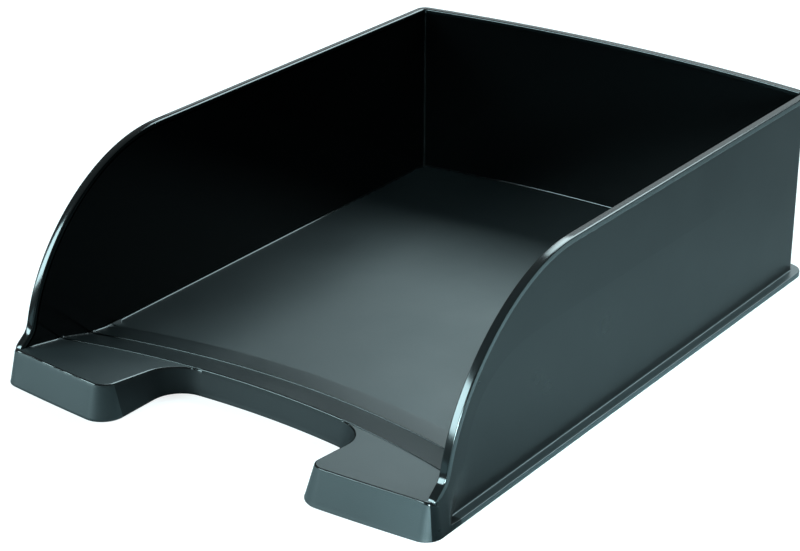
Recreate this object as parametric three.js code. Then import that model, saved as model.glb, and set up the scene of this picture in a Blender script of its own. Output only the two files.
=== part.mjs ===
// Extra-high letter tray with an open, grip-cut front, in millimetres.
// +X is to the right seen from the open front, +Y points to the rear wall, +Z is up.
// The origin is on the table, under the middle of the tray.
//
// The tray is one thin-walled moulding. Each functional zone of it is a solid of its own:
// floor, ramp, front shelves, drafted front faces, grip skirt, walls, rim bead and base rail.
import * as THREE from 'three';

// Overall size.
const WIDTH = 255;
const DEPTH = 360;
const HEIGHT = 103;
const FRONT_BOW = 6.5;
const REAR_BOW = 10.5;
const GAP = 0.3;

const FRONT_Y = -DEPTH / 2;
const REAR_Y = DEPTH / 2;

// Base rail: the skirt that stands on the table, with a ledge on top of it.
const RAIL_WIDTH = 5;
const RAIL_HEIGHT = 3;
const RAIL_LIP = 2;
const RAIL_UNDERSIDE = 1.2;
const RAIL_FRONT_Y = FRONT_Y + 26.5;
const BASE_CORNER_RADIUS = 9;

// Walls and the bead that stiffens their free edge.
const WALL = 2.2;
const BEAD_OVERHANG = 2.1;
const BEAD_HEIGHT = 3.2;
const BEAD_CHAMFER = 0.7;

// Floor and the two-step ramp in front of it, placed on the middle of the tray.
const FLOOR_TOP = 5.8;
const PANEL = 2.2;
const RAMP_RADIUS = 420;
const RAMP_CREST_Z = 12.8;
const RAMP_BREAK_Z = 7.5;
const RAMP_BREAK_Y = FRONT_Y + 76;
const RAMP_FOOT_Y = FRONT_Y + 91;

// Front blocks: a sloping shelf on drafted faces, either side of the grip cut-out.
const SHELF_FRONT_Z = 17.5;
const DRAFT = RAIL_WIDTH / SHELF_FRONT_Z;
const GRIP_HALF_WIDTH = 56;
const GRIP_REAR_Y = FRONT_Y + 51.5;
const GRIP_CORNER_RADIUS = 16;
const MOUTH_CORNER_RADIUS = 12;

// Free edge of a side wall, as [y, z]: a short toe on the shelf, then one sweep up to the rim.
const TOE_TIP = [FRONT_Y + 11, 17.6];
const TOE_TOP = [FRONT_Y + 16.7, 22];
const TOE_KINK = [FRONT_Y + 18.9, 23.8];
const SWEEP_FOOT = [FRONT_Y + 20, 28];
const SWEEP_LOW_PULL = [FRONT_Y + 29.5, 65];
const SWEEP_HIGH_PULL = [FRONT_Y + 69.5, HEIGHT];
const SWEEP_TOP = [FRONT_Y + 116.5, HEIGHT];

const WALL_INNER = RAIL_WIDTH + WALL;
const WALL_OUTER_X = WIDTH / 2 - RAIL_WIDTH;
const WALL_INNER_X = WIDTH / 2 - WALL_INNER;
const PANEL_EDGE_X = WALL_INNER_X - GAP;

// ---- Plan outlines -------------------------------------------------------------------------
// A plan point holds x, y and the unit normal nx, ny that points out of the plastic at table
// level. Moving a point in by an inset follows the draft of the face that stands on it.

const bowRadius = (halfWidth, bow) => (halfWidth ** 2 + bow ** 2) / (2 * bow);

const FRONT_RADIUS = bowRadius(WIDTH / 2, FRONT_BOW);
const REAR_RADIUS = bowRadius(WIDTH / 2, REAR_BOW);
const GRIP_RADIUS = RAMP_RADIUS - DRAFT * RAMP_CREST_Z;
const REAR_CENTRE_Y = REAR_Y - REAR_RADIUS;
const GRIP_CENTRE_Y = GRIP_REAR_Y - GRIP_RADIUS;

// The bowed front edge reaches the tray's full depth at the mouth corners of the grip.
const MOUTH_X = GRIP_HALF_WIDTH + MOUTH_CORNER_RADIUS;
const MOUTH_Y = FRONT_Y + MOUTH_CORNER_RADIUS;
const FRONT_CENTRE_Y = MOUTH_Y + Math.sqrt((FRONT_RADIUS - MOUTH_CORNER_RADIUS) ** 2 - MOUTH_X ** 2);

function straight(x, fromY, toY, nx, steps) {
  const points = [];
  for (let i = 0; i <= steps; i += 1) {
    points.push({ x, y: fromY + ((toY - fromY) * i) / steps, nx, ny: 0 });
  }
  return points;
}

// Facing is 1 where the plastic lies inside the arc and -1 where it lies outside.
function arc(cx, cy, radius, fromAngle, toAngle, steps, facing) {
  const points = [];
  for (let i = 0; i <= steps; i += 1) {
    const angle = fromAngle + ((toAngle - fromAngle) * i) / steps;
    const [c, s] = [Math.cos(angle), Math.sin(angle)];
    points.push({ x: cx + radius * c, y: cy + radius * s, nx: facing * c, ny: facing * s });
  }
  return points;
}

// Centre of the small arc that joins a side line to a long arc about (0, centreY).
function fillet(x, centreY, reach, toRear) {
  const offset = toRear * Math.sqrt(reach ** 2 - x ** 2);
  return { x, y: centreY + offset, angle: Math.atan2(offset, x) };
}

const outerFillet = fillet(
  WIDTH / 2 - BASE_CORNER_RADIUS, FRONT_CENTRE_Y, FRONT_RADIUS - BASE_CORNER_RADIUS, -1);
const mouthFillet = fillet(MOUTH_X, FRONT_CENTRE_Y, FRONT_RADIUS - MOUTH_CORNER_RADIUS, -1);
const gripFillet = fillet(
  GRIP_HALF_WIDTH - GRIP_CORNER_RADIUS, GRIP_CENTRE_Y, GRIP_RADIUS - GRIP_CORNER_RADIUS, 1);
const rearFillet = fillet(
  WIDTH / 2 - BASE_CORNER_RADIUS, REAR_CENTRE_Y, REAR_RADIUS - BASE_CORNER_RADIUS, 1);

function joined(...runs) {
  return runs.flatMap((run, i) => (i === 0 ? run : run.slice(1)));
}

// Right-hand half of the outline, from the base rail's front end round to the grip's rear edge.
const frontPath = joined(
  straight(WIDTH / 2, RAIL_FRONT_Y - GAP, outerFillet.y, 1, 3),
  arc(outerFillet.x, outerFillet.y, BASE_CORNER_RADIUS, 0, outerFillet.angle, 6, 1),
  arc(0, FRONT_CENTRE_Y, FRONT_RADIUS, outerFillet.angle, mouthFillet.angle, 4, 1),
  arc(mouthFillet.x, mouthFillet.y, MOUTH_CORNER_RADIUS, mouthFillet.angle, -Math.PI, 7, 1),
);
const gripSidePath = joined(
  straight(GRIP_HALF_WIDTH, mouthFillet.y, gripFillet.y, -1, 2),
  arc(gripFillet.x, gripFillet.y, GRIP_CORNER_RADIUS, 0, gripFillet.angle, 8, -1),
);
const gripRearPath = arc(
  0, GRIP_CENTRE_Y, GRIP_RADIUS, gripFillet.angle, Math.PI - gripFillet.angle, 10, -1);

const sideRailPath = straight(WIDTH / 2, RAIL_FRONT_Y, rearFillet.y, 1, 1);
const rearCornerPath = arc(
  rearFillet.x, rearFillet.y, BASE_CORNER_RADIUS, 0, rearFillet.angle, 6, 1);
const rearPath = arc(
  0, REAR_CENTRE_Y, REAR_RADIUS, rearFillet.angle, Math.PI - rearFillet.angle, 18, 1);

// A ramp line is one long arc across the floor, from wall to wall, bulging to the rear.
function rampLine(middleY, fromX, toX, steps) {
  const points = [];
  for (let i = 0; i <= steps; i += 1) {
    const x = fromX + ((toX - fromX) * i) / steps;
    points.push([x, middleY - RAMP_RADIUS + Math.sqrt(RAMP_RADIUS ** 2 - x ** 2)]);
  }
  return points;
}

const CREST_Y = GRIP_REAR_Y + DRAFT * RAMP_CREST_Z;
const crestAt = (x) => rampLine(CREST_Y, x, x, 1)[0][1];
const frontAt = (x) => FRONT_CENTRE_Y - Math.sqrt((FRONT_RADIUS - RAIL_WIDTH) ** 2 - x ** 2);

const between = (value, from, to, fromZ, toZ) => THREE.MathUtils.mapLinear(
  THREE.MathUtils.clamp(value, from, to), from, to, fromZ, toZ);

// Height of the top face: the shelf falls evenly to the crest, then the ramp falls to the floor.
function topHeight(x, y) {
  const crest = crestAt(x);
  if (y <= crest) {
    return between(y, frontAt(x), crest, SHELF_FRONT_Z, RAMP_CREST_Z);
  }
  const along = y - crest + CREST_Y;
  if (along <= RAMP_BREAK_Y) {
    return between(along, CREST_Y, RAMP_BREAK_Y, RAMP_CREST_Z, RAMP_BREAK_Z);
  }
  return between(along, RAMP_BREAK_Y, RAMP_FOOT_Y, RAMP_BREAK_Z, FLOOR_TOP);
}

// Height at which what stands under the shelf and the ramp stops.
const underside = ([x, y]) => topHeight(Math.abs(x), y) - PANEL - GAP;

// ---- Solids --------------------------------------------------------------------------------

// A closed solid through rings of equal point count, capped by the shape of its end rings.
function loft(rings, capShape) {
  const count = capShape.length;
  const index = [];
  for (let i = 0; i < rings.length - 1; i += 1) {
    for (let j = 0; j < count; j += 1) {
      const next = (j + 1) % count;
      const [a, b] = [i * count + j, i * count + next];
      index.push(a, b, b + count, a, b + count, a + count);
    }
  }
  const flat = capShape.map(([u, v]) => new THREE.Vector2(u, v));
  const isCounterClockwise = THREE.ShapeUtils.area(flat) > 0;
  const last = (rings.length - 1) * count;
  for (const face of THREE.ShapeUtils.triangulateShape(flat, [])) {
    const turnsLeft = THREE.ShapeUtils.area(face.map((k) => flat[k])) > 0;
    const [a, b, c] = turnsLeft === isCounterClockwise ? face : [face[0], face[2], face[1]];
    index.push(a, c, b, last + a, last + b, last + c);
  }
  const geometry = new THREE.BufferGeometry();
  geometry.setAttribute('position', new THREE.Float32BufferAttribute(rings.flat(2), 3));
  geometry.setIndex(index);
  return facingOut(geometry);
}

function signedVolume(geometry) {
  const position = geometry.getAttribute('position');
  const corners = geometry.getIndex().array;
  const [a, b, c] = [new THREE.Vector3(), new THREE.Vector3(), new THREE.Vector3()];
  let total = 0;
  for (let i = 0; i < corners.length; i += 3) {
    a.fromBufferAttribute(position, corners[i]);
    b.fromBufferAttribute(position, corners[i + 1]);
    c.fromBufferAttribute(position, corners[i + 2]);
    total += a.dot(b.cross(c)) / 6;
  }
  return total;
}

function facingOut(geometry) {
  if (signedVolume(geometry) < 0) {
    geometry.setIndex(Array.from(geometry.getIndex().array).reverse());
  }
  return geometry;
}

function mirrored(geometry) {
  const copy = geometry.clone();
  copy.scale(-1, 1, 1);
  return facingOut(copy);
}

const place = (point, inset, z) => [point.x - point.nx * inset, point.y - point.ny * inset, z];

// Sweeps a profile of [inset, z] corners along a plan outline.
function sweep(path, profileAt) {
  const rings = path.map((point) => profileAt(point).map(([inset, z]) => place(point, inset, z)));
  return loft(rings, profileAt(path[0]));
}

// A panel of even thickness over a plan outline of [x, y] corners, following the top face.
function panel(outline) {
  const top = outline.map(([x, y]) => [x, y, topHeight(x, y)]);
  const bottom = top.map(([x, y, z]) => [x, y, z - PANEL]);
  return loft([bottom, top], outline);
}

// ---- Profiles ------------------------------------------------------------------------------

// A drafted face stands on the table and carries the shelf or the ramp.
function draftedFace(point) {
  const lean = DRAFT * underside(place(point, RAIL_WIDTH, 0));
  const outerTop = underside(place(point, lean, 0));
  const innerTop = underside(place(point, WALL + lean, 0));
  return [[0, 0], [WALL, 0], [WALL + lean, innerTop], [lean, outerTop]];
}

const wallProfile = () => [
  [RAIL_WIDTH, RAIL_UNDERSIDE],
  [WALL_INNER, RAIL_UNDERSIDE],
  [WALL_INNER, HEIGHT - BEAD_HEIGHT],
  [RAIL_WIDTH, HEIGHT - BEAD_HEIGHT],
];

const railProfile = () => [
  [0, 0],
  [RAIL_LIP, 0],
  [RAIL_LIP, RAIL_UNDERSIDE],
  [RAIL_WIDTH - GAP, RAIL_UNDERSIDE],
  [RAIL_WIDTH - GAP, RAIL_HEIGHT],
  [0, RAIL_HEIGHT],
];

// The bead's section as [inset, depth below the free edge].
const BEAD_OUTER = RAIL_WIDTH - BEAD_OVERHANG;
const beadSection = [
  [WALL_INNER, BEAD_HEIGHT],
  [BEAD_OUTER + BEAD_CHAMFER, BEAD_HEIGHT],
  [BEAD_OUTER, BEAD_HEIGHT - BEAD_CHAMFER],
  [BEAD_OUTER, BEAD_CHAMFER],
  [BEAD_OUTER + BEAD_CHAMFER, 0],
  [WALL_INNER - BEAD_CHAMFER, 0],
  [WALL_INNER, BEAD_CHAMFER],
];
const beadProfile = () => beadSection.map(([inset, depth]) => [inset, HEIGHT - depth]);

// ---- Side walls ----------------------------------------------------------------------------

const vector = ([y, z]) => new THREE.Vector2(y, z);
const edgeCurves = [
  new THREE.LineCurve(vector(TOE_TIP), vector(TOE_TOP)),
  new THREE.QuadraticBezierCurve(vector(TOE_TOP), vector(TOE_KINK), vector(SWEEP_FOOT)),
  new THREE.CubicBezierCurve(
    vector(SWEEP_FOOT), vector(SWEEP_LOW_PULL), vector(SWEEP_HIGH_PULL), vector(SWEEP_TOP)),
];
const EDGE_STEPS = [1, 3, 18];

// Points of the free edge, each with its direction of travel.
const freeEdge = edgeCurves.flatMap((curve, i) => {
  const points = [];
  for (let step = i === 0 ? 0 : 1; step <= EDGE_STEPS[i]; step += 1) {
    const t = step / EDGE_STEPS[i];
    points.push({ at: curve.getPoint(t), along: curve.getTangent(t) });
  }
  return points;
});

// Height of the drafted side return that the front of a wall stands on.
const seatAt = (y) => topHeight(WALL_OUTER_X, y) - PANEL + GAP;

// The free edge moved down into the wall by a depth, and kept above its seat.
function edgeAtDepth(depth) {
  return freeEdge.map(({ at, along }) => {
    const y = at.x + depth * along.y;
    return [y, Math.max(at.y - depth * along.x, seatAt(y))];
  });
}

function frontEdgeBead() {
  const runs = beadSection.map(([, depth]) => edgeAtDepth(depth));
  const rings = freeEdge.map((_, i) => beadSection.map(([inset], j) => [
    WIDTH / 2 - inset, ...runs[j][i],
  ]));
  return loft(rings, beadSection);
}

function sideWall() {
  const underBead = edgeAtDepth(BEAD_HEIGHT).filter(([y, z]) => z > seatAt(y));
  const seatFront = underBead[0][0] - GAP;
  const outline = [
    [rearFillet.y, RAIL_UNDERSIDE],
    [RAIL_FRONT_Y, RAIL_UNDERSIDE],
    [RAIL_FRONT_Y, seatAt(RAIL_FRONT_Y)],
    [seatFront, seatAt(seatFront)],
    ...underBead,
    [rearFillet.y, HEIGHT - BEAD_HEIGHT],
  ];
  const rings = [WALL_INNER_X, WALL_OUTER_X].map((x) => outline.map(([y, z]) => [x, y, z]));
  return loft(rings, outline);
}

// ---- Floor, ramp and shelves ---------------------------------------------------------------

const crestLine = rampLine(CREST_Y, -PANEL_EDGE_X, PANEL_EDGE_X, 24);
const breakLine = rampLine(RAMP_BREAK_Y, -PANEL_EDGE_X, PANEL_EDGE_X, 24);
const footLine = rampLine(RAMP_FOOT_Y, -PANEL_EDGE_X, PANEL_EDGE_X, 24);

// A ramp step is the band between two ramp lines, ruled from one to the other.
function rampStep(frontLine, rearLine, frontZ, rearZ) {
  const rings = frontLine.map(([x, y], i) => [
    [x, y, frontZ],
    [x, rearLine[i][1], rearZ],
    [x, rearLine[i][1], rearZ - PANEL],
    [x, y, frontZ - PANEL],
  ]);
  return loft(rings, rings[0].map(([, y, z]) => [y, z]));
}

function floorPanel() {
  const corner = rearCornerPath.map((point) => place(point, WALL_INNER + GAP, 0).slice(0, 2));
  const rear = rearPath.map((point) => place(point, WALL_INNER + GAP, 0).slice(0, 2));
  const leftCorner = corner.map(([x, y]) => [-x, y]).toReversed();
  const outline = [...footLine, ...corner, ...rear.slice(1, -1), ...leftCorner];
  return panel(outline);
}

// Plan of the right-hand shelf: its front edge, mouth corner and grip edge, then the crest.
function shelf() {
  const edge = [...frontPath, ...gripSidePath.slice(1, -1)].map((point) => {
    const [x, y] = place(point, RAIL_WIDTH, 0);
    const inset = DRAFT * topHeight(x, y);
    return place(point, inset, 0).slice(0, 2);
  });
  const kept = edge.filter(([x]) => x < PANEL_EDGE_X - GAP);
  const [cornerX] = kept[kept.length - 1];
  const crest = rampLine(CREST_Y - GAP, cornerX, PANEL_EDGE_X, 10);
  const side = [PANEL_EDGE_X, kept[0][1] + RAIL_WIDTH / 2];
  return panel([...kept, ...crest, side]);
}

// ---- Assembly ------------------------------------------------------------------------------

const FINISHES = {
  gloss: { color: 0x0b0e0e, roughness: 0.18 },
  satin: { color: 0x141818, roughness: 0.38 },
  textured: { color: 0x1a1f1f, roughness: 0.55 },
};

const tray = new THREE.Group();

function add(name, geometry, finish) {
  const material = new THREE.MeshStandardMaterial({ ...FINISHES[finish], metalness: 0 });
  const mesh = new THREE.Mesh(geometry, material);
  mesh.name = name;
  tray.add(mesh);
}

function addPair(name, geometry, finish) {
  add(`right_${name}`, geometry, finish);
  add(`left_${name}`, mirrored(geometry), finish);
}

add('floor_panel', floorPanel(), 'textured');
add('ramp_lower', rampStep(breakLine, footLine, RAMP_BREAK_Z, FLOOR_TOP), 'satin');
add('ramp_upper', rampStep(crestLine, breakLine, RAMP_CREST_Z, RAMP_BREAK_Z), 'satin');

addPair('front_shelf', shelf(), 'textured');
addPair('front_fascia', sweep(frontPath, draftedFace), 'textured');
addPair('grip_return', sweep(gripSidePath, draftedFace), 'textured');
add('grip_rear_skirt', sweep(gripRearPath, draftedFace), 'textured');

addPair('side_wall', sideWall(), 'satin');
addPair('rear_corner', sweep(rearCornerPath, wallProfile), 'satin');
add('rear_wall', sweep(rearPath, wallProfile), 'satin');

addPair('front_edge_bead', frontEdgeBead(), 'gloss');
addPair('rim_bead', sweep(straight(WIDTH / 2, SWEEP_TOP[0], rearFillet.y, 1, 1), beadProfile), 'gloss');
addPair('rear_rim_corner', sweep(rearCornerPath, beadProfile), 'gloss');
add('rear_rim_bead', sweep(rearPath, beadProfile), 'gloss');

addPair('base_rail', sweep(sideRailPath, railProfile), 'satin');
addPair('rear_base_corner', sweep(rearCornerPath, railProfile), 'satin');
add('rear_base_rail', sweep(rearPath, railProfile), 'satin');

export default tray;
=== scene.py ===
"""Extra-high letter tray: the finished look of one black moulded desk tray on a pale floor.

Sizes are in millimetres inside this script and are turned into metres when a mesh is made.
Each CAD zone of the moulding gets one finely rounded shell, which replaces it.
"""
import math

import bmesh
import bpy
import numpy as np
from mathutils import Matrix, Vector
from mathutils.geometry import delaunay_2d_cdt


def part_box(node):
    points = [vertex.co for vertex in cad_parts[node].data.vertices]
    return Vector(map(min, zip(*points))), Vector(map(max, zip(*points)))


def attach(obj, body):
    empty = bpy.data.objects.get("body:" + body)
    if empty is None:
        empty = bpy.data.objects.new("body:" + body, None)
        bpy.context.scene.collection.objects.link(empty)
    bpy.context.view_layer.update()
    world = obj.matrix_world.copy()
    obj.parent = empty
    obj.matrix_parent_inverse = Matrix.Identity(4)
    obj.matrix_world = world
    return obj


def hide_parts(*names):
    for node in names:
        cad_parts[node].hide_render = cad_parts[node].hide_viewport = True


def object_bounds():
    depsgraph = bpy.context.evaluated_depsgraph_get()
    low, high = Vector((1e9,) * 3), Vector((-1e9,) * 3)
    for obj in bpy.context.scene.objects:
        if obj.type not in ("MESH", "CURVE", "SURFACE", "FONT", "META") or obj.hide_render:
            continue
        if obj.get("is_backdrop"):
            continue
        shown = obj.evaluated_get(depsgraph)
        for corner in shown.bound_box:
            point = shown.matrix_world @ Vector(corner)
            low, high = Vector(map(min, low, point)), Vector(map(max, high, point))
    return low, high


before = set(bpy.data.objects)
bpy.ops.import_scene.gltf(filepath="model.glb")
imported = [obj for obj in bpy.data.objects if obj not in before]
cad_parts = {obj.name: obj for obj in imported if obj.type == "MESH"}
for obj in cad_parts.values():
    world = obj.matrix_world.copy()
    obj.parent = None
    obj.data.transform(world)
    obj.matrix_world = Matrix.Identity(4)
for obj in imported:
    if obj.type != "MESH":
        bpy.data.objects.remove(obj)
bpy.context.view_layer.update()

MM = 0.001


def box_mm(node):
    low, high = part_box(node)
    return np.array(low) / MM, np.array(high) / MM

# ---- Sizes, from the frame where it has them ------------------------------------------------
TRAY_LOW, TRAY_HIGH = (np.array(corner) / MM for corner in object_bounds())
HALF_WIDTH = TRAY_HIGH[0]
FRONT_Y, REAR_Y = TRAY_LOW[1], TRAY_HIGH[1]
RIM_Z = TRAY_HIGH[2]
WALL_LOW, WALL_HIGH = box_mm("right_side_wall")
WALL_IN_X, WALL_OUT_X = WALL_LOW[0], WALL_HIGH[0]
WALL_FOOT_Z = WALL_LOW[2]
BEAD_LOW, BEAD_HIGH = box_mm("right_rim_bead")
RAIL_LOW, RAIL_HIGH = box_mm("right_base_rail")
FLOOR_LOW, FLOOR_HIGH = box_mm("floor_panel")
RAMP_CREST_Z = box_mm("ramp_upper")[1][2]
RAMP_BREAK_Z = box_mm("ramp_lower")[1][2]
SHELF_Z = box_mm("right_front_shelf")[1][2]

RAIL = HALF_WIDTH - WALL_OUT_X
WALL = WALL_OUT_X - WALL_IN_X
INNER = RAIL + WALL
RAIL_Z = RAIL_HIGH[2]
RAIL_FRONT_Y = RAIL_LOW[1]
FLOOR_Z = FLOOR_HIGH[2]
PANEL = FLOOR_HIGH[2] - FLOOR_LOW[2]
BEAD_OVERHANG = BEAD_HIGH[0] - WALL_OUT_X
BEAD_DEPTH = RIM_Z - BEAD_LOW[2]
SWEEP_TOP_Y = BEAD_LOW[1]

# Driving sizes of the outline that no box holds.
FRONT_BOW = 6.5
REAR_BOW = 10.5
BASE_CORNER_R = 9.0
GRIP_HALF_WIDTH = 56.0
GRIP_CORNER_R = 16.0
MOUTH_CORNER_R = 12.0
GRIP_REAR_Y = FRONT_Y + 51.5
RAMP_R = 420.0
RAMP_BREAK_Y = FRONT_Y + 76.0
RAMP_FOOT_Y = FRONT_Y + 91.0
DRAFT = RAIL / SHELF_Z
SIDE_DRAFT = (RAIL - BEAD_OVERHANG) / SHELF_Z

# Free edge of a side wall, as (y, z).
TOE_TIP = (FRONT_Y + 11.0, 17.6)
TOE_TOP = (FRONT_Y + 16.7, 22.0)
TOE_KINK = (FRONT_Y + 18.9, 23.8)
SWEEP_FOOT = (FRONT_Y + 20.0, 28.0)
SWEEP_LOW_PULL = (FRONT_Y + 29.5, 65.0)
SWEEP_HIGH_PULL = (FRONT_Y + 69.5, RIM_Z)
SWEEP_TOP = (SWEEP_TOP_Y, RIM_Z)

# Fine shape that only the visual model carries.
EDGE_R = 0.6             # rounding of the shelf's edge, which grows towards the outer corner
CORNER_EDGE_R = 2.0
CORNER_EDGE_FADE = 10.0
TOE_DIVE = 2.6           # how deep the front bead's end dives into the front block
TIP_LAP = 1.2            # how far the side wall starts under that end
TOE_ROUNDING = 1.6
COVE_R = 0.8
STEP = 0.55              # height of the small step at the crest and at the break of the ramp
STEP_R = 0.5
TUCK = 0.3               # overlap of a panel with the wall beside it
BEHIND = 0.04            # how far a sheet's lower edge stays behind the face under it
ON_EDGE = 0.01
BEAD_R = 0.75
BEAD_LOW_R = 0.5
BEAD_LAP = 0.2
RAIL_R = 0.5
RAIL_FILLET = 0.6
LEDGE_ROUND_SHARE = 0.4  # most of a narrow ledge that one rounding may take up
LEAST_LEDGE = 0.25
FOOT_R = 0.3
HOLLOW_SHARE = 0.4       # height of the hollow under the foot, as a share of the ledge's
RELIEF = 0.55            # depth of the shallow hollow over the curved line on a side wall
RELIEF_FADE = 16.0
FLARE_BLEND = 8.0
LEDGE_END = 8.0
LEDGE_END_GROWTH = 0.8
RAMP_FOOT_EASE = 1.3     # above 1, the ramp runs out softly into the floor

# Meshing.
SHARP_ANGLE = math.radians(38)
MERGE_DISTANCE = 1e-4
SHEET_TOLERANCE = 1e-5
KEEP_INSIDE = 1          # the triangulation's mode that keeps what lies inside the outline
RING_CLEARANCE = 0.8
GRID_CLEARANCE = 0.45
CREASE_CLEARANCE = 0.3
QUAD_ANGLE = 0.6

# ---- Plan outlines --------------------------------------------------------------------------
# A plan point is (x, y, nx, ny): a place at table level and the normal out of the plastic.

def straight(x, from_y, to_y, nx, steps):
    return [(x, from_y + (to_y - from_y) * i / steps, nx, 0.0) for i in range(steps + 1)]


def arc(cx, cy, radius, from_angle, to_angle, steps, facing):
    points = []
    for i in range(steps + 1):
        angle = from_angle + (to_angle - from_angle) * i / steps
        c, s = math.cos(angle), math.sin(angle)
        points.append((cx + radius * c, cy + radius * s, facing * c, facing * s))
    return points


def bow_radius(half_width, bow):
    return (half_width ** 2 + bow ** 2) / (2 * bow)


def fillet(x, centre_y, reach, to_rear):
    """Centre and end angle of the small arc that joins a side line to a long bowed arc."""
    offset = to_rear * math.sqrt(reach ** 2 - x ** 2)
    return x, centre_y + offset, math.atan2(offset, x)


def joined(*runs):
    points = list(runs[0])
    for run in runs[1:]:
        points.extend(run[1:])
    return points


def place(point, inset):
    x, y, nx, ny = point
    return x - nx * inset, y - ny * inset


FRONT_R = bow_radius(HALF_WIDTH, FRONT_BOW)
REAR_R = bow_radius(HALF_WIDTH, REAR_BOW)
GRIP_R = RAMP_R - DRAFT * RAMP_CREST_Z
MOUTH_X = GRIP_HALF_WIDTH + MOUTH_CORNER_R
MOUTH_Y = FRONT_Y + MOUTH_CORNER_R
FRONT_CY = MOUTH_Y + math.sqrt((FRONT_R - MOUTH_CORNER_R) ** 2 - MOUTH_X ** 2)
REAR_CY = REAR_Y - REAR_R
GRIP_CY = GRIP_REAR_Y - GRIP_R
CREST_Y = GRIP_REAR_Y + DRAFT * RAMP_CREST_Z

OUTER_X, OUTER_Y, OUTER_ANGLE = fillet(
    HALF_WIDTH - BASE_CORNER_R, FRONT_CY, FRONT_R - BASE_CORNER_R, -1)
MOUTH_ANGLE = fillet(MOUTH_X, FRONT_CY, FRONT_R - MOUTH_CORNER_R, -1)[2]
GRIP_X, GRIP_Y, GRIP_ANGLE = fillet(
    GRIP_HALF_WIDTH - GRIP_CORNER_R, GRIP_CY, GRIP_R - GRIP_CORNER_R, 1)
REAR_X, REAR_CORNER_Y, REAR_ANGLE = fillet(
    HALF_WIDTH - BASE_CORNER_R, REAR_CY, REAR_R - BASE_CORNER_R, 1)

OUTER_CORNER = arc(OUTER_X, OUTER_Y, BASE_CORNER_R, 0, OUTER_ANGLE, 16, 1)
FRONT_ARC = arc(0, FRONT_CY, FRONT_R, OUTER_ANGLE, MOUTH_ANGLE, 10, 1)
MOUTH_CORNER = arc(MOUTH_X, MOUTH_Y, MOUTH_CORNER_R, MOUTH_ANGLE, -math.pi, 20, 1)
GRIP_LEG = straight(GRIP_HALF_WIDTH, MOUTH_Y, GRIP_Y, -1, 5)
GRIP_CORNER = arc(GRIP_X, GRIP_Y, GRIP_CORNER_R, 0, GRIP_ANGLE, 20, -1)
GRIP_REAR = arc(0, GRIP_CY, GRIP_R, GRIP_ANGLE, math.pi - GRIP_ANGLE, 28, -1)
REAR_CORNER = arc(REAR_X, REAR_CORNER_Y, BASE_CORNER_R, 0, REAR_ANGLE, 16, 1)
REAR_ARC = arc(0, REAR_CY, REAR_R, REAR_ANGLE, math.pi - REAR_ANGLE, 60, 1)


def line_y(middle_y, x):
    """Where a ramp line, one long arc bulging to the rear, stands at x."""
    return middle_y - RAMP_R + np.sqrt(RAMP_R ** 2 - np.square(x))


def front_y(x):
    return FRONT_CY - np.sqrt((FRONT_R - RAIL) ** 2 - np.square(x))

# ---- Heights of the top faces ---------------------------------------------------------------

def shelf_z(x, y):
    front, crest = front_y(x), line_y(CREST_Y, x)
    way = np.clip((y - front) / (crest - front), 0, 1)
    return SHELF_Z + (RAMP_CREST_Z - STEP - SHELF_Z) * way


def ramp_upper_z(x, y):
    way = np.clip((y - line_y(CREST_Y, x)) / (RAMP_BREAK_Y - CREST_Y), 0, 1)
    return RAMP_CREST_Z + (RAMP_BREAK_Z - STEP - RAMP_CREST_Z) * way


def ramp_lower_z(x, y):
    way = np.clip((y - line_y(RAMP_BREAK_Y, x)) / (RAMP_FOOT_Y - RAMP_BREAK_Y), 0, 1)
    return FLOOR_Z + (RAMP_BREAK_Z - FLOOR_Z) * (1 - way) ** RAMP_FOOT_EASE


def rounded(distance, radius):
    """How far a quarter-round edge has dropped at a distance inside it."""
    inside = np.clip(radius - distance, 0, radius)
    return radius - np.sqrt(radius ** 2 - inside ** 2)

# ---- Mesh making ----------------------------------------------------------------------------

def finish_mesh(name, bm, materials, creases=()):
    """Turns a closed bmesh in millimetres into an object with hard edges only at creases."""
    creases = set(creases)
    bmesh.ops.remove_doubles(bm, verts=bm.verts, dist=MERGE_DISTANCE)
    bmesh.ops.dissolve_degenerate(bm, dist=MERGE_DISTANCE, edges=bm.edges)
    bmesh.ops.recalc_face_normals(bm, faces=bm.faces)
    for face in bm.faces:
        face.smooth = True
    for edge in bm.edges:
        on_crease = edge.verts[0] in creases and edge.verts[1] in creases
        edge.smooth = edge.calc_face_angle(0) < SHARP_ANGLE and not on_crease
    bmesh.ops.scale(bm, vec=(MM, MM, MM), verts=bm.verts)
    mesh = bpy.data.meshes.new(name)
    bm.to_mesh(mesh)
    bm.free()
    for material in materials:
        mesh.materials.append(material)
    obj = bpy.data.objects.new(name, mesh)
    bpy.context.scene.collection.objects.link(obj)
    weighted = obj.modifiers.new("weighted", "WEIGHTED_NORMAL")
    weighted.keep_sharp = True
    shaded = bpy.data.meshes.new_from_object(
        obj.evaluated_get(bpy.context.evaluated_depsgraph_get()))
    obj.modifiers.clear()
    obj.data = shaded
    bpy.data.meshes.remove(mesh)
    shaded.name = name
    return obj


def loft(name, rings, materials, material_at=None):
    """A closed skin through rings of equal count; material_at picks a slot by ring and edge."""
    bm = bmesh.new()
    rows = [[bm.verts.new(corner) for corner in ring] for ring in rings]
    count = len(rows[0])
    for i, (near, far) in enumerate(zip(rows, rows[1:])):
        for j in range(count):
            k = (j + 1) % count
            face = bm.faces.new((near[j], near[k], far[k], far[j]))
            if material_at:
                face.material_index = material_at(i, j)
    bm.faces.new(rows[0])
    bm.faces.new(rows[-1])
    return finish_mesh(name, bm, materials)


def sweep(name, path, profile_at, materials, material_at=None):
    """Sweeps a profile of (inset, z) corners along a plan outline."""
    rings = []
    for point in path:
        rings.append([(*place(point, inset), z) for inset, z in profile_at(point)])
    return loft(name, rings, materials, material_at)


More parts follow.
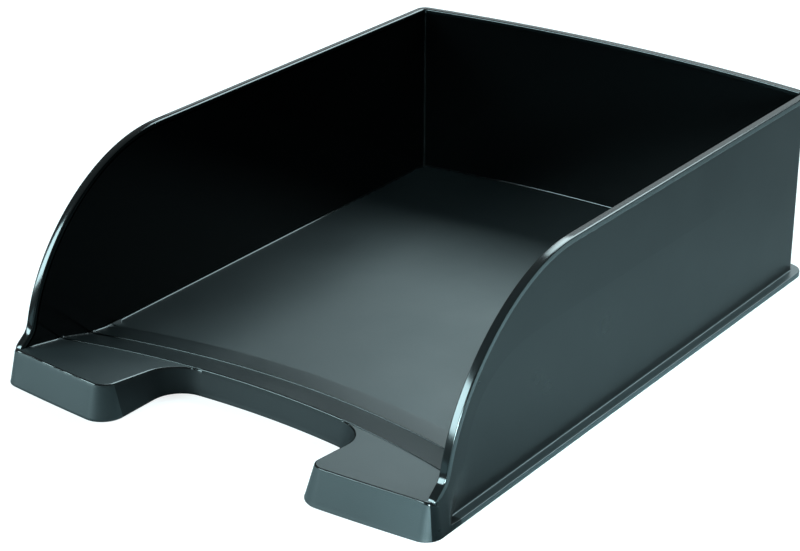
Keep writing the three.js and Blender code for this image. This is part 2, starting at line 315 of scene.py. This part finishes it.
def mirrored(obj, name):
    mesh = obj.data.copy()
    mesh.name = name
    mesh.transform(Matrix.Scale(-1, 4, (1, 0, 0)))
    mesh.flip_normals()
    copy = bpy.data.objects.new(name, mesh)
    bpy.context.scene.collection.objects.link(copy)
    return copy


def distance_to(line, points):
    """Shortest distance from each 2-D point to an open polyline."""
    line, points = np.asarray(line, float), np.asarray(points, float)
    best = np.full(len(points), 1e9)
    for start, end in zip(line[:-1], line[1:]):
        along = end - start
        length2 = max(along @ along, 1e-12)
        t = np.clip((points - start) @ along / length2, 0, 1)
        gap = points - start - t[:, None] * along
        best = np.minimum(best, np.hypot(gap[:, 0], gap[:, 1]))
    return best


def inside(outline, points):
    result = np.zeros(len(points), bool)
    x, y = points[:, 0], points[:, 1]
    previous = outline[-1]
    for corner in outline:
        crosses = (corner[1] > y) != (previous[1] > y)
        with np.errstate(divide="ignore", invalid="ignore"):
            at = (previous[0] - corner[0]) * (y - corner[1]) / (previous[1] - corner[1]) + corner[0]
        result ^= crosses & (x < at)
        previous = corner
    return result


def offset_points(outline, distances):
    """Copies of a closed counter-clockwise outline moved inwards by each distance."""
    loop = np.asarray(outline, float)
    tangent = np.roll(loop, -1, 0) - np.roll(loop, 1, 0)
    tangent /= np.hypot(tangent[:, 0], tangent[:, 1])[:, None]
    inward = np.stack([-tangent[:, 1], tangent[:, 0]], 1)
    return [loop + inward * distance for distance in distances]


def dense(points, step):
    """Splits the sides of a closed outline that are longer than step."""
    result = []
    for start, end in zip(points, list(points[1:]) + [points[0]]):
        parts = max(1, math.ceil(math.dist(start, end) / step))
        for i in range(parts):
            t = i / parts
            result.append([a + (b - a) * t for a, b in zip(start, end)])
    return result


def slab(name, outline, spacing, rims, top_at, bottom_at, materials, creases=(), trim=None,
         side_at=None):
    """A closed sheet over a plan outline, meshed finely near its rim and evenly elsewhere.

    top_at and bottom_at turn (n, 2) plan points into (n, 3) corners. A second material goes on
    the bottom, or, with trim, on the parts of the top where trim is true. side_at picks the
    material of the sides. Creases are lines across the sheet where its shading breaks.
    """
    loop = np.asarray(dense(outline, spacing), float)
    area = np.sum(loop[:, 0] * np.roll(loop[:, 1], -1) - np.roll(loop[:, 0], -1) * loop[:, 1])
    if area < 0:
        loop = loop[::-1]
    low, high = loop.min(0), loop.max(0)
    grid = np.stack(np.meshgrid(
        np.arange(low[0] + spacing / 2, high[0], spacing),
        np.arange(low[1] + spacing / 2, high[1], spacing)), -1).reshape(-1, 2)
    closed = np.vstack([loop, loop[:1]])
    free = []
    for ring, distance in zip(offset_points(loop, rims), rims):
        free.append(ring[(distance_to(closed, ring) > RING_CLEARANCE * distance)
                         & inside(loop, ring)])
    reach = max(rims, default=0) + spacing * GRID_CLEARANCE
    free.append(grid[(distance_to(closed, grid) > reach) & inside(loop, grid)])
    free = np.vstack(free)
    for crease in creases:
        free = free[distance_to(crease, free) > spacing * CREASE_CLEARANCE]
    vertices = [Vector(p) for p in loop]
    edges = [(i, (i + 1) % len(loop)) for i in range(len(loop))]
    for crease in creases:
        first = len(vertices)
        vertices.extend(Vector(p) for p in crease)
        edges.extend((first + i, first + i + 1) for i in range(len(crease) - 1))
    last_crease = len(vertices)
    vertices.extend(Vector(p) for p in free)
    flat, _, faces, sources, *_ = delaunay_2d_cdt(
        vertices, edges, [list(range(len(loop)))], KEEP_INSIDE, SHEET_TOLERANCE)
    flat = np.array([tuple(v) for v in flat])
    bm = bmesh.new()
    top = [bm.verts.new(corner) for corner in top_at(flat)]
    bottom = [bm.verts.new(corner) for corner in bottom_at(flat)]
    sides = set()
    middles = np.array([flat[list(face)].mean(0) for face in faces])
    trimmed = trim(middles) if trim else np.zeros(len(faces), bool)
    by_rim = distance_to(closed, middles) < max(rims)
    strips = []
    for face, is_trim, in_strip in zip(faces, trimmed, by_rim):
        front = bm.faces.new([top[i] for i in face])
        front.material_index = int(is_trim)
        back = bm.faces.new([bottom[i] for i in reversed(face)])
        back.material_index = 0 if trim else len(materials) - 1
        if in_strip:
            strips.extend((front, back))
        sides.update(zip(face, list(face[1:]) + [face[0]]))
    for a, b in sides:
        if (b, a) not in sides:
            side = bm.faces.new((top[b], top[a], bottom[a], bottom[b]))
            side.material_index = side_at(flat[a]) if side_at else 0
    bmesh.ops.join_triangles(
        bm, faces=strips, angle_face_threshold=QUAD_ANGLE, angle_shape_threshold=QUAD_ANGLE)
    marked = [top[i] for i, source in enumerate(sources)
              if any(len(loop) <= k < last_crease for k in source)]
    bmesh.ops.delete(bm, geom=[v for v in bm.verts if not v.link_faces], context="VERTS")
    return finish_mesh(name, bm, materials, [v for v in marked if v.is_valid])

# ---- Materials ------------------------------------------------------------------------------

def plastic(name, colour, roughness, spread, grain_size, grain_depth, specular=0.5):
    """Moulded black plastic: fine grain in the surface and slow cloudiness in its gloss.

    Grain size and depth are in millimetres.
    """
    material = bpy.data.materials.new(name)
    material.use_nodes = True
    nodes, links = material.node_tree.nodes, material.node_tree.links
    shader = nodes["Principled BSDF"]
    shader.inputs["Base Color"].default_value = (*colour, 1)
    shader.inputs["Specular IOR Level"].default_value = specular
    shader.inputs["Specular Tint"].default_value = (0.76, 0.97, 1.0, 1)
    place_on = nodes.new("ShaderNodeTexCoord")
    clouds = nodes.new("ShaderNodeTexNoise")
    clouds.inputs["Scale"].default_value = 28
    clouds.inputs["Detail"].default_value = 3
    links.new(place_on.outputs["Object"], clouds.inputs["Vector"])
    gloss = nodes.new("ShaderNodeMapRange")
    gloss.inputs["To Min"].default_value = roughness - spread
    gloss.inputs["To Max"].default_value = roughness + spread
    gloss.inputs["From Min"].default_value = 0.3
    gloss.inputs["From Max"].default_value = 0.7
    links.new(clouds.outputs["Fac"], gloss.inputs["Value"])
    links.new(gloss.outputs["Result"], shader.inputs["Roughness"])
    grain = nodes.new("ShaderNodeTexNoise")
    grain.inputs["Scale"].default_value = 1 / (grain_size * MM)
    grain.inputs["Detail"].default_value = 2
    links.new(place_on.outputs["Object"], grain.inputs["Vector"])
    bump = nodes.new("ShaderNodeBump")
    bump.inputs["Strength"].default_value = 1
    bump.inputs["Distance"].default_value = grain_depth * MM
    links.new(grain.outputs["Fac"], bump.inputs["Height"])
    links.new(bump.outputs["Normal"], shader.inputs["Normal"])
    return material


BLACK = (0.0015, 0.0026, 0.0029)
textured = plastic("textured_plastic", (0.0045, 0.0095, 0.011), 0.46, 0.03, 0.6, 0.04, 0.75)
fascia_textured = plastic("fascia_plastic", (0.013, 0.021, 0.023), 0.46, 0.03, 0.6, 0.04, 0.9)
# The grip's plastic is a darker, less shiny copy of the fascia's: its lower colour and gloss are
# painted shade for the hollow of the grip, which faces the light as the fascia does.
grip_painted_shade = plastic("grip_painted_shade_plastic", (0.004, 0.0065, 0.0075), 0.46, 0.03, 0.6, 0.03, 0.45)
ramp_satin = plastic("ramp_plastic", (0.0035, 0.007, 0.008), 0.38, 0.03, 0.7, 0.02, 0.6)
edge_gloss = plastic("edge_plastic", BLACK, 0.16, 0.02, 0.7, 0.001, 0.5)
satin = plastic("satin_wall_plastic", BLACK, 0.30, 0.03, 0.9, 0.005, 0.18)
rail_satin = plastic("rail_plastic", (0.005, 0.010, 0.0115), 0.34, 0.03, 0.9, 0.005, 0.7)
gloss = plastic("glossy_wall_plastic", (0.0008, 0.0012, 0.0013), 0.13, 0.02, 3.0, 0.004, 0.12)
bead_gloss = plastic("bead_plastic", BLACK, 0.14, 0.02, 2.0, 0.004, 0.6)

# ---- Floor, ramp and shelves ----------------------------------------------------------------

PANEL_X = WALL_IN_X + TUCK
RIMS = (0.03, 0.1, 0.22, 0.38, 0.6, 0.9, 1.3, 1.8, 2.8, 4.6)


def ramp_line(middle_y, from_x, to_x, steps):
    return [(x, float(line_y(middle_y, x))) for x in np.linspace(from_x, to_x, steps + 1)]


def xyz(points, z):
    return np.column_stack([points, z])


def cove(line, points):
    """Rise of a top face in the hollow fillet where it meets a wall."""
    return rounded(np.maximum(distance_to(line, points) - TUCK, 0), COVE_R)


def wall_sides(points, from_y, to_y):
    """Cove along both side walls."""
    right = [(PANEL_X, from_y), (PANEL_X, to_y)]
    left = [(-PANEL_X, from_y), (-PANEL_X, to_y)]
    return np.maximum(cove(right, points), cove(left, points))


def floor_shell():
    corner = [place(p, INNER - TUCK) for p in REAR_CORNER]
    rear = [place(p, INNER - TUCK) for p in REAR_ARC]
    left = [(-x, y) for x, y in reversed(corner)]
    foot = ramp_line(RAMP_FOOT_Y, -PANEL_X, PANEL_X, 60)
    walls = [foot[-1], *corner, *rear[1:-1], *left, foot[0]]
    return slab(
        "floor_panel_shell", [*foot, *corner, *rear[1:-1], *left], 7, RIMS,
        lambda p: xyz(p, FLOOR_Z + cove(walls, p)),
        lambda p: xyz(p, np.full(len(p), FLOOR_Z - PANEL)), [textured, edge_gloss],
        trim=lambda p: cove(walls, p) > 0)


def ramp_shell(name, front_mid, rear_mid, height_at, exposed_x):
    """A band between two ramp lines. Its front edge is rounded where the grip leaves it bare."""
    front = ramp_line(front_mid, -PANEL_X, PANEL_X, 72)
    rear = ramp_line(rear_mid, PANEL_X, -PANEL_X, 72)
    bare = ramp_line(front_mid, -exposed_x, exposed_x, 48) if exposed_x else None
    from_y, to_y = front[0][1] - COVE_R, rear[0][1] + COVE_R

    def drop_at(points):
        drop = rounded(distance_to(front, points), STEP_R)
        if bare:
            drop = np.maximum(drop, rounded(distance_to(bare, points), EDGE_R))
        return drop * np.clip((PANEL_X - TUCK - np.abs(points[:, 0])) / COVE_R, 0, 1)

    def top(points):
        z = height_at(points[:, 0], points[:, 1]) + wall_sides(points, from_y, to_y)
        drop = drop_at(points)
        moved = points.copy()
        if bare:
            moved[:, 1] -= DRAFT * drop * (distance_to(bare, points) < EDGE_R)
        return xyz(moved, z - drop)

    def bottom(points):
        z = height_at(points[:, 0], points[:, 1]) - PANEL
        moved = points.copy()
        if bare:
            moved[:, 1] -= (DRAFT * PANEL - BEHIND) * (distance_to(bare, points) < ON_EDGE)
        return xyz(moved, z)

    def is_trim(points):
        return (drop_at(points) > 0) | (wall_sides(points, from_y, to_y) > 0)

    return slab(name, [*front, *rear], 3, RIMS, top, bottom,
                [ramp_satin, edge_gloss, grip_painted_shade], trim=is_trim, side_at=lambda _: 2)


def draft_at(point):
    """Lean of the drafted face: steep round the front, nearer upright along the sides."""
    x, _, nx, _ = point
    share = max(nx, 0) ** 1.5 if x > OUTER_X else 0
    return DRAFT + (SIDE_DRAFT - DRAFT) * share


TOE_END_Y = OUTER_Y + 0.1
SIDE_TOP = [p for p in straight(HALF_WIDTH, TOE_END_Y, OUTER_Y, 1, 4)]
SHELF_PATH = joined(SIDE_TOP, OUTER_CORNER, FRONT_ARC, MOUTH_CORNER, GRIP_LEG, GRIP_CORNER)
CREST_TURN_X = RAMP_R * math.cos(GRIP_ANGLE)


def shelf_edge(point):
    x, y = place(point, RAIL)
    return place(point, draft_at(point) * float(shelf_z(x, y)))


def shelf_shell():
    edge = [shelf_edge(p) for p in SHELF_PATH]
    crest = ramp_line(CREST_Y, CREST_TURN_X, PANEL_X, 36)
    outline = [*edge, *crest, (PANEL_X, TOE_END_Y)]
    wall = [(PANEL_X, TOE_TIP[0] + 6), crest[-1]]
    corner_x = edge[0][0] - CORNER_EDGE_FADE
    leans = np.array([(p[2] * draft_at(p), p[3] * draft_at(p)) for p in SHELF_PATH])

    def drop_at(points):
        to_corner = np.clip((points[:, 0] - corner_x) / CORNER_EDGE_FADE, 0, 1)
        radius = EDGE_R + (CORNER_EDGE_R - EDGE_R) * to_corner ** 2
        return rounded(distance_to(edge, points), radius)

    def leaned(points, fall):
        """Points beside the edge moved out, to where the drafted face is that far down."""
        moved = points.copy()
        for i in np.flatnonzero(fall > 0):
            nearest = int(np.argmin(np.hypot(*(np.array(edge) - points[i]).T)))
            moved[i] += leans[nearest] * fall[i]
        return moved

    def top(points):
        drop = drop_at(points)
        z = shelf_z(points[:, 0], points[:, 1]) + cove(wall, points)
        return xyz(leaned(points, drop), z - drop)

    def bottom(points):
        on_edge = distance_to(edge, points) < ON_EDGE
        z = shelf_z(points[:, 0], points[:, 1]) - PANEL
        return xyz(leaned(points, on_edge * (PANEL - BEHIND)), z)

    def side_at(point):
        """The side carries on the surface of the drafted face under it."""
        if point[0] > OUTER_X + 4:
            return 4
        return 3 if point[0] < MOUTH_X and point[1] > MOUTH_Y else 2

    return slab(
        "right_front_shelf_shell", outline, 3.2, RIMS, top, bottom,
        [textured, edge_gloss, fascia_textured, grip_painted_shade, satin],
        trim=lambda p: (drop_at(p) > 0) | (cove(wall, p) > 0), side_at=side_at)

# ---- Drafted faces under the shelf and the ramp ---------------------------------------------

def smoothstep(t):
    t = min(max(t, 0.0), 1.0)
    return t * t * (3 - 2 * t)


def flare(z):
    """How far the front of a side wall stands out at a height, over its straight upper part."""
    meet = RAIL / SIDE_DRAFT
    if z < meet - FLARE_BLEND:
        return SIDE_DRAFT * (meet - z)
    if z > meet + FLARE_BLEND:
        return 0.0
    return SIDE_DRAFT * (meet + FLARE_BLEND - z) ** 2 / (4 * FLARE_BLEND)


def ledge_share(y, z):
    """0 where the side is flared to the table, 1 where it is a wall standing on a ledge."""
    length = LEDGE_END + LEDGE_END_GROWTH * max(z - RAIL_Z, 0)
    return smoothstep((y - RAIL_FRONT_Y + LEDGE_END) / length)


MOST_TURN = 0.9


def corner_turn(y, z):
    """How far the rounded front corner has turned in from the straight side."""
    radius = BASE_CORNER_R - SIDE_DRAFT * min(z, SHELF_Z)
    ahead = min(max(OUTER_Y - y, 0), MOST_TURN * radius)
    return radius - math.sqrt(radius ** 2 - ahead ** 2)


def side_x(y, z):
    return WALL_OUT_X + flare(z) * (1 - ledge_share(y, z)) - corner_turn(y, z)


def side_seam_z(y):
    """Height at which the side wall takes over from the drafted face below it."""
    return float(shelf_z(WALL_OUT_X, y)) - PANEL + TUCK


def quarter(cu, cv, radius, from_deg, to_deg, steps=4):
    angles = np.radians(np.linspace(from_deg, to_deg, steps + 1))
    return [(cu + radius * math.cos(a), cv + radius * math.sin(a)) for a in angles]


def low_profile(lean, inset_at, on_ledge):
    """Outside of the base as (inset, z), from the table to just over the ledge's height."""
    face = lambda z: lean * z * (1 - on_ledge)
    inner = inset_at(RAIL_Z + RAIL_FILLET)
    edge = face(RAIL_Z)
    room = inner - edge
    points = quarter(FOOT_R, FOOT_R, FOOT_R, 270, 180, 3)
    points.append((face(RAIL_Z / 2), RAIL_Z / 2))
    if room < LEAST_LEDGE:
        return points + [(inset_at(z), z) for z in np.linspace(2, RAIL_Z + 1, 10)]
    r, f = (min(size, LEDGE_ROUND_SHARE * room) for size in (RAIL_R, RAIL_FILLET))
    points += [(edge + u, RAIL_Z - r + v) for u, v in quarter(r, 0, r, 180, 90)]
    points += [(inner - f + u, RAIL_Z + f + v) for u, v in quarter(0, 0, f, 270, 360)]
    return points


def drafted_profile(point):
    """Section of the hollow block that carries the shelf or the ramp."""
    x, y = point[:2]
    on_side = x > HALF_WIDTH - 1e-6 and y > OUTER_Y
    if on_side:
        lean, on_ledge, top = SIDE_DRAFT, ledge_share(y, 0), side_seam_z(y)
        inset_at = lambda z: HALF_WIDTH - side_x(y, z)
    else:
        lean = draft_at(point)
        inset_at, on_ledge = (lambda z: lean * z), 0
        if point in GRIP_REAR:
            top = RAMP_CREST_Z - PANEL
        else:
            # The face leans in, so a first height gives the place of the true one.
            top = float(shelf_z(*place(point, RAIL * 0.8)))
            top = float(shelf_z(*place(point, lean * top))) - PANEL
    outer = low_profile(lean, inset_at, on_ledge)
    outer += [(inset_at(z), z) for z in np.linspace(outer[-1][1], top, 5)[1:]]
    foot = WALL + (INNER - WALL) * on_ledge
    inner = [
        (inset_at(top) + WALL, top),
        (foot + inset_at(RAIL_Z) * (1 - on_ledge) * HOLLOW_SHARE, RAIL_Z * HOLLOW_SHARE),
        (WALL + 0.01, RAIL_Z * HOLLOW_SHARE - 0.01),
        (WALL, 0),
    ]
    return outer + inner


FRONT_PATH = joined(
    straight(HALF_WIDTH, RAIL_FRONT_Y, OUTER_Y, 1, 26), OUTER_CORNER, FRONT_ARC, MOUTH_CORNER)
GRIP_PATH = joined(GRIP_LEG, GRIP_CORNER)


FACES_SIDE = 0.8


def fascia_side(i, _):
    """The side of the block is as smooth as the wall that it runs into."""
    return 1 if FRONT_PATH[i][2] > FACES_SIDE else 0

# ---- Walls ----------------------------------------------------------------------------------

def line_curve(a, b):
    return lambda t: (np.add(a, np.subtract(b, a) * t), np.subtract(b, a))


def quadratic(a, b, c):
    a, b, c = map(np.array, (a, b, c))
    return lambda t: (
        a * (1 - t) ** 2 + 2 * b * t * (1 - t) + c * t * t,
        2 * (1 - t) * (b - a) + 2 * t * (c - b))


def cubic(a, b, c, d):
    a, b, c, d = map(np.array, (a, b, c, d))
    return lambda t: (
        a * (1 - t) ** 3 + 3 * b * t * (1 - t) ** 2 + 3 * c * t * t * (1 - t) + d * t ** 3,
        3 * (1 - t) ** 2 * (b - a) + 6 * t * (1 - t) * (c - b) + 3 * t * t * (d - c))


def sampled(curves, steps):
    """Points along joined curves as (y, z, unit tangent y, unit tangent z)."""
    points = []
    for curve, count in zip(curves, steps):
        for i in range(1 if points else 0, count + 1):
            at, along = curve(i / count)
            points.append((*at, *(along / np.hypot(*along))))
    return points


TOE_SLOPE = np.subtract(TOE_TOP, TOE_TIP) / math.dist(TOE_TOP, TOE_TIP)
TOE_START = (TOE_TIP[0] - 0.7, SHELF_Z - TOE_DIVE)
TOE_PULL = (TOE_TIP[0] - 0.6, TOE_TIP[1] - 0.5)
TOE_BEND = tuple(np.array(TOE_TIP) + TOE_ROUNDING * TOE_SLOPE)
FREE_EDGE = sampled([
    quadratic(TOE_START, TOE_PULL, TOE_BEND),
    line_curve(TOE_BEND, TOE_TOP),
    quadratic(TOE_TOP, TOE_KINK, SWEEP_FOOT),
    cubic(SWEEP_FOOT, SWEEP_LOW_PULL, SWEEP_HIGH_PULL, SWEEP_TOP)], [8, 6, 8, 56])

# Crease of the shallow relief on the outside of a side wall, as (y, z).
RELIEF_Z = RIM_Z * 0.645
RELIEF_START = (FRONT_Y + 34.6, 22.0)
RELIEF_TURN = (FRONT_Y + 94.6, RELIEF_Z)
RELIEF_FADE_Y = (REAR_Y - 125, REAR_Y - 45)
RELIEF_LINE = [p[:2] for p in sampled([
    cubic(RELIEF_START, (RELIEF_START[0] + 6, 52), (RELIEF_TURN[0] - 38, RELIEF_Z), RELIEF_TURN),
    line_curve(RELIEF_TURN, (RELIEF_FADE_Y[1], RELIEF_Z))], [40, 40])]


def side_wall_shell():
    under_bead = []
    for y, z, along_y, along_z in FREE_EDGE:
        depth = TIP_LAP if y < TOE_BEND[0] else BEAD_DEPTH - 1
        under_bead.append((y + depth * along_z, z - depth * along_y))
    under_bead = [p for p in under_bead if p[1] > side_seam_z(p[0])]
    front_y0 = under_bead[0][0] - 0.2
    seam = [(y, side_seam_z(y)) for y in np.linspace(RAIL_FRONT_Y, front_y0, 8)]
    outline = [
        (REAR_CORNER_Y, WALL_FOOT_Z), (RAIL_FRONT_Y, WALL_FOOT_Z), *seam, *under_bead,
        (REAR_CORNER_Y, RIM_Z - BEAD_DEPTH + 1)]
    line = np.array(RELIEF_LINE)
    below = np.vstack([line, [(RELIEF_FADE_Y[1], -9), (RELIEF_START[0], -9)]])

    def outer(points):
        x = np.array([side_x(y, z) for y, z in points])
        depth = 1 - np.exp(-distance_to(line, points) / RELIEF_FADE)
        y = points[:, 0]
        rear = np.clip((y - RELIEF_FADE_Y[0]) / (RELIEF_FADE_Y[1] - RELIEF_FADE_Y[0]), 0, 1)
        low = np.clip((points[:, 1] - RELIEF_START[1]) / 25, 0, 1)
        share = depth * (1 - rear) ** 2 * low * ~inside(below, points)
        return np.column_stack([x - RELIEF * share, points])

    return slab(
        "right_side_wall_shell", outline, 5, (1.0, 2.5), outer,
        lambda p: np.column_stack([np.full(len(p), WALL_IN_X), p]),
        [satin, gloss], [RELIEF_LINE])


def wall_profile(_):
    top = RIM_Z - BEAD_DEPTH + 1
    return [(RAIL, WALL_FOOT_Z), (RAIL, top), (INNER, top), (INNER, WALL_FOOT_Z)]


def wall_side(_, j):
    return 1 if j == 2 else 0

# ---- Bead and base rail ---------------------------------------------------------------------

BEAD_OUT = RAIL - BEAD_OVERHANG


def bead_section():
    """Rounded section of the bead as (inset, depth below the free edge)."""
    r, low = BEAD_R, BEAD_LOW_R
    points = quarter(BEAD_OUT + r, r, r, 180, 270)
    points += quarter(INNER - r, r, r, 270, 360)
    points += [(INNER, BEAD_DEPTH), (RAIL + BEAD_LAP, BEAD_DEPTH)]
    points += quarter(BEAD_OUT + low, BEAD_DEPTH - low, low, 90, 180)
    return points


def bead_profile(_):
    return [(inset, RIM_Z - depth) for inset, depth in bead_section()]


def front_bead_shell():
    rings = []
    for y, z, along_y, along_z in FREE_EDGE:
        ring = []
        for inset, depth in bead_section():
            at_y, at_z = y + depth * along_z, z - depth * along_y
            turned = corner_turn(at_y, SHELF_Z) * (INNER - inset) / (INNER - BEAD_OUT)
            ring.append((HALF_WIDTH - inset - turned, at_y, at_z))
        rings.append(ring)
    return loft("right_front_edge_bead_shell", rings, [bead_gloss])


def rail_profile(point):
    y = point[1] if point[0] > HALF_WIDTH - 1e-6 else REAR_Y
    outer = low_profile(SIDE_DRAFT, lambda z: HALF_WIDTH - side_x(y, z), ledge_share(y, 0))
    top = outer[-1][1]
    inner = outer[-1][0] + 0.3
    foot = RAIL_Z * HOLLOW_SHARE
    return outer + [(inner, top), (inner, foot), (WALL - 0.2, foot), (WALL - 0.2, 0)]


RAIL_PATH = [(HALF_WIDTH, y, 1.0, 0.0) for y in (
    *np.linspace(RAIL_FRONT_Y, RAIL_FRONT_Y + 12, 13), *np.linspace(-120, REAR_CORNER_Y, 12))]
RIM_PATH = straight(HALF_WIDTH, SWEEP_TOP_Y, REAR_CORNER_Y, 1, 20)

# ---- Building -------------------------------------------------------------------------------


def stand_for(obj, node):
    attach(obj, "root")
    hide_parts(node)


def single(obj):
    stand_for(obj, obj.name.removesuffix("_shell"))


def pair(obj):
    single(obj)
    single(mirrored(obj, obj.name.replace("right_", "left_", 1)))


single(floor_shell())
single(ramp_shell("ramp_lower_shell", RAMP_BREAK_Y, RAMP_FOOT_Y, ramp_lower_z, 0))
single(ramp_shell(
    "ramp_upper_shell", CREST_Y, RAMP_BREAK_Y, ramp_upper_z, CREST_TURN_X))
single(sweep("grip_rear_skirt_shell", GRIP_REAR, drafted_profile, [grip_painted_shade]))
single(sweep("rear_wall_shell", REAR_ARC, wall_profile, [satin, gloss], wall_side))
single(sweep("rear_rim_bead_shell", REAR_ARC, bead_profile, [bead_gloss]))
single(sweep("rear_base_rail_shell", REAR_ARC, rail_profile, [rail_satin]))
pair(shelf_shell())
pair(sweep("right_front_fascia_shell", FRONT_PATH, drafted_profile, [fascia_textured, satin],
           fascia_side))
pair(sweep("right_grip_return_shell", GRIP_PATH, drafted_profile, [grip_painted_shade]))
pair(side_wall_shell())
pair(sweep("right_rear_corner_shell", REAR_CORNER, wall_profile, [satin, gloss], wall_side))
pair(front_bead_shell())
pair(sweep("right_rim_bead_shell", RIM_PATH, bead_profile, [bead_gloss]))
pair(sweep("right_rear_rim_corner_shell", REAR_CORNER, bead_profile, [bead_gloss]))
pair(sweep("right_base_rail_shell", RAIL_PATH, rail_profile, [rail_satin]))
pair(sweep("right_rear_base_corner_shell", REAR_CORNER, rail_profile, [rail_satin]))

# ---- Floor, light and camera ----------------------------------------------------------------

def stage_plane():
    bm = bmesh.new()
    bmesh.ops.create_grid(bm, x_segments=1, y_segments=1, size=6)
    mesh = bpy.data.meshes.new("pale_floor")
    bm.to_mesh(mesh)
    bm.free()
    floor = bpy.data.objects.new("pale_floor", mesh)
    floor.location.z = -0.0002
    pale = bpy.data.materials.new("pale_floor")
    pale.use_nodes = True
    nodes, links = pale.node_tree.nodes, pale.node_tree.links
    shader = nodes["Principled BSDF"]
    shader.inputs["Base Color"].default_value = (0.34, 0.44, 0.46, 1)
    shader.inputs["Roughness"].default_value = 0.9
    shader.inputs["Emission Color"].default_value = (1, 1, 1, 1)
    seen = nodes.new("ShaderNodeLightPath")
    paleness = nodes.new("ShaderNodeMapRange")
    paleness.inputs["To Max"].default_value = 0.75
    links.new(seen.outputs["Is Camera Ray"], paleness.inputs["Value"])
    links.new(paleness.outputs["Result"], shader.inputs["Emission Strength"])
    mesh.materials.append(pale)
    bpy.context.scene.collection.objects.link(floor)
    floor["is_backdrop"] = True


COOL = (0.84, 0.97, 1.0)


def softbox(name, at, target, width, height, brightness, spread=180):
    """A rectangular light whose face is brightness times as bright as a fully lit white."""
    light = bpy.data.lights.new(name, "AREA")
    light.shape = "RECTANGLE"
    light.size, light.size_y = width, height
    light.spread = math.radians(spread)
    light.color = COOL
    light.energy = brightness * math.pi * width * height
    lamp = bpy.data.objects.new(name, light)
    lamp.location = at
    lamp.rotation_euler = (Vector(target) - Vector(at)).to_track_quat("-Z", "Y").to_euler()
    bpy.context.scene.collection.objects.link(lamp)


def studio_light():
    world = bpy.data.worlds.new("studio")
    world.use_nodes = True
    background = world.node_tree.nodes["Background"]
    background.inputs["Color"].default_value = (1, 1, 1, 1)
    background.inputs["Strength"].default_value = 0.2
    bpy.context.scene.world = world
    softbox("front_left", (-1.58, -2.13, 1.35), (0, 0, 0.05), 1.6, 1.2, 18)
    softbox("rear", (0.0, 2.0, 2.0), (0, 0, 0.05), 3.0, 1.2, 8)
    softbox("rear_low", (-0.8, 2.3, 0.85), (0, 0, 0.05), 2.6, 0.7, 0.8)
    softbox("rear_right", (1.3, 2.2, 1.6), (0.1, 0, 0.03), 0.5, 1.2, 4)
    softbox("floor_wash", (0.45, -0.5, 0.2), (0.19, 0.05, 0), 0.2, 0.12, 18, 38)


CAMERA_AT = (0.5823, -0.8188, 0.4873)
CAMERA_TURN = math.radians(36.239)
CAMERA_PITCH = math.radians(24.637)
CAMERA_ROLL = math.radians(0.055)
CAMERA_LENS = 97.98


def camera():
    data = bpy.data.cameras.new("camera")
    data.lens, data.sensor_width = CAMERA_LENS, 36
    data.clip_start, data.clip_end = 0.05, 40
    eye = bpy.data.objects.new("camera", data)
    eye.matrix_world = (
        Matrix.Translation(CAMERA_AT)
        @ Matrix.Rotation(CAMERA_TURN, 4, "Z")
        @ Matrix.Rotation(math.pi / 2 - CAMERA_PITCH, 4, "X")
        @ Matrix.Rotation(CAMERA_ROLL, 4, "Z"))
    bpy.context.scene.collection.objects.link(eye)
    bpy.context.scene.camera = eye


stage_plane()
studio_light()
camera()
bpy.context.scene.view_settings.view_transform = "Standard"
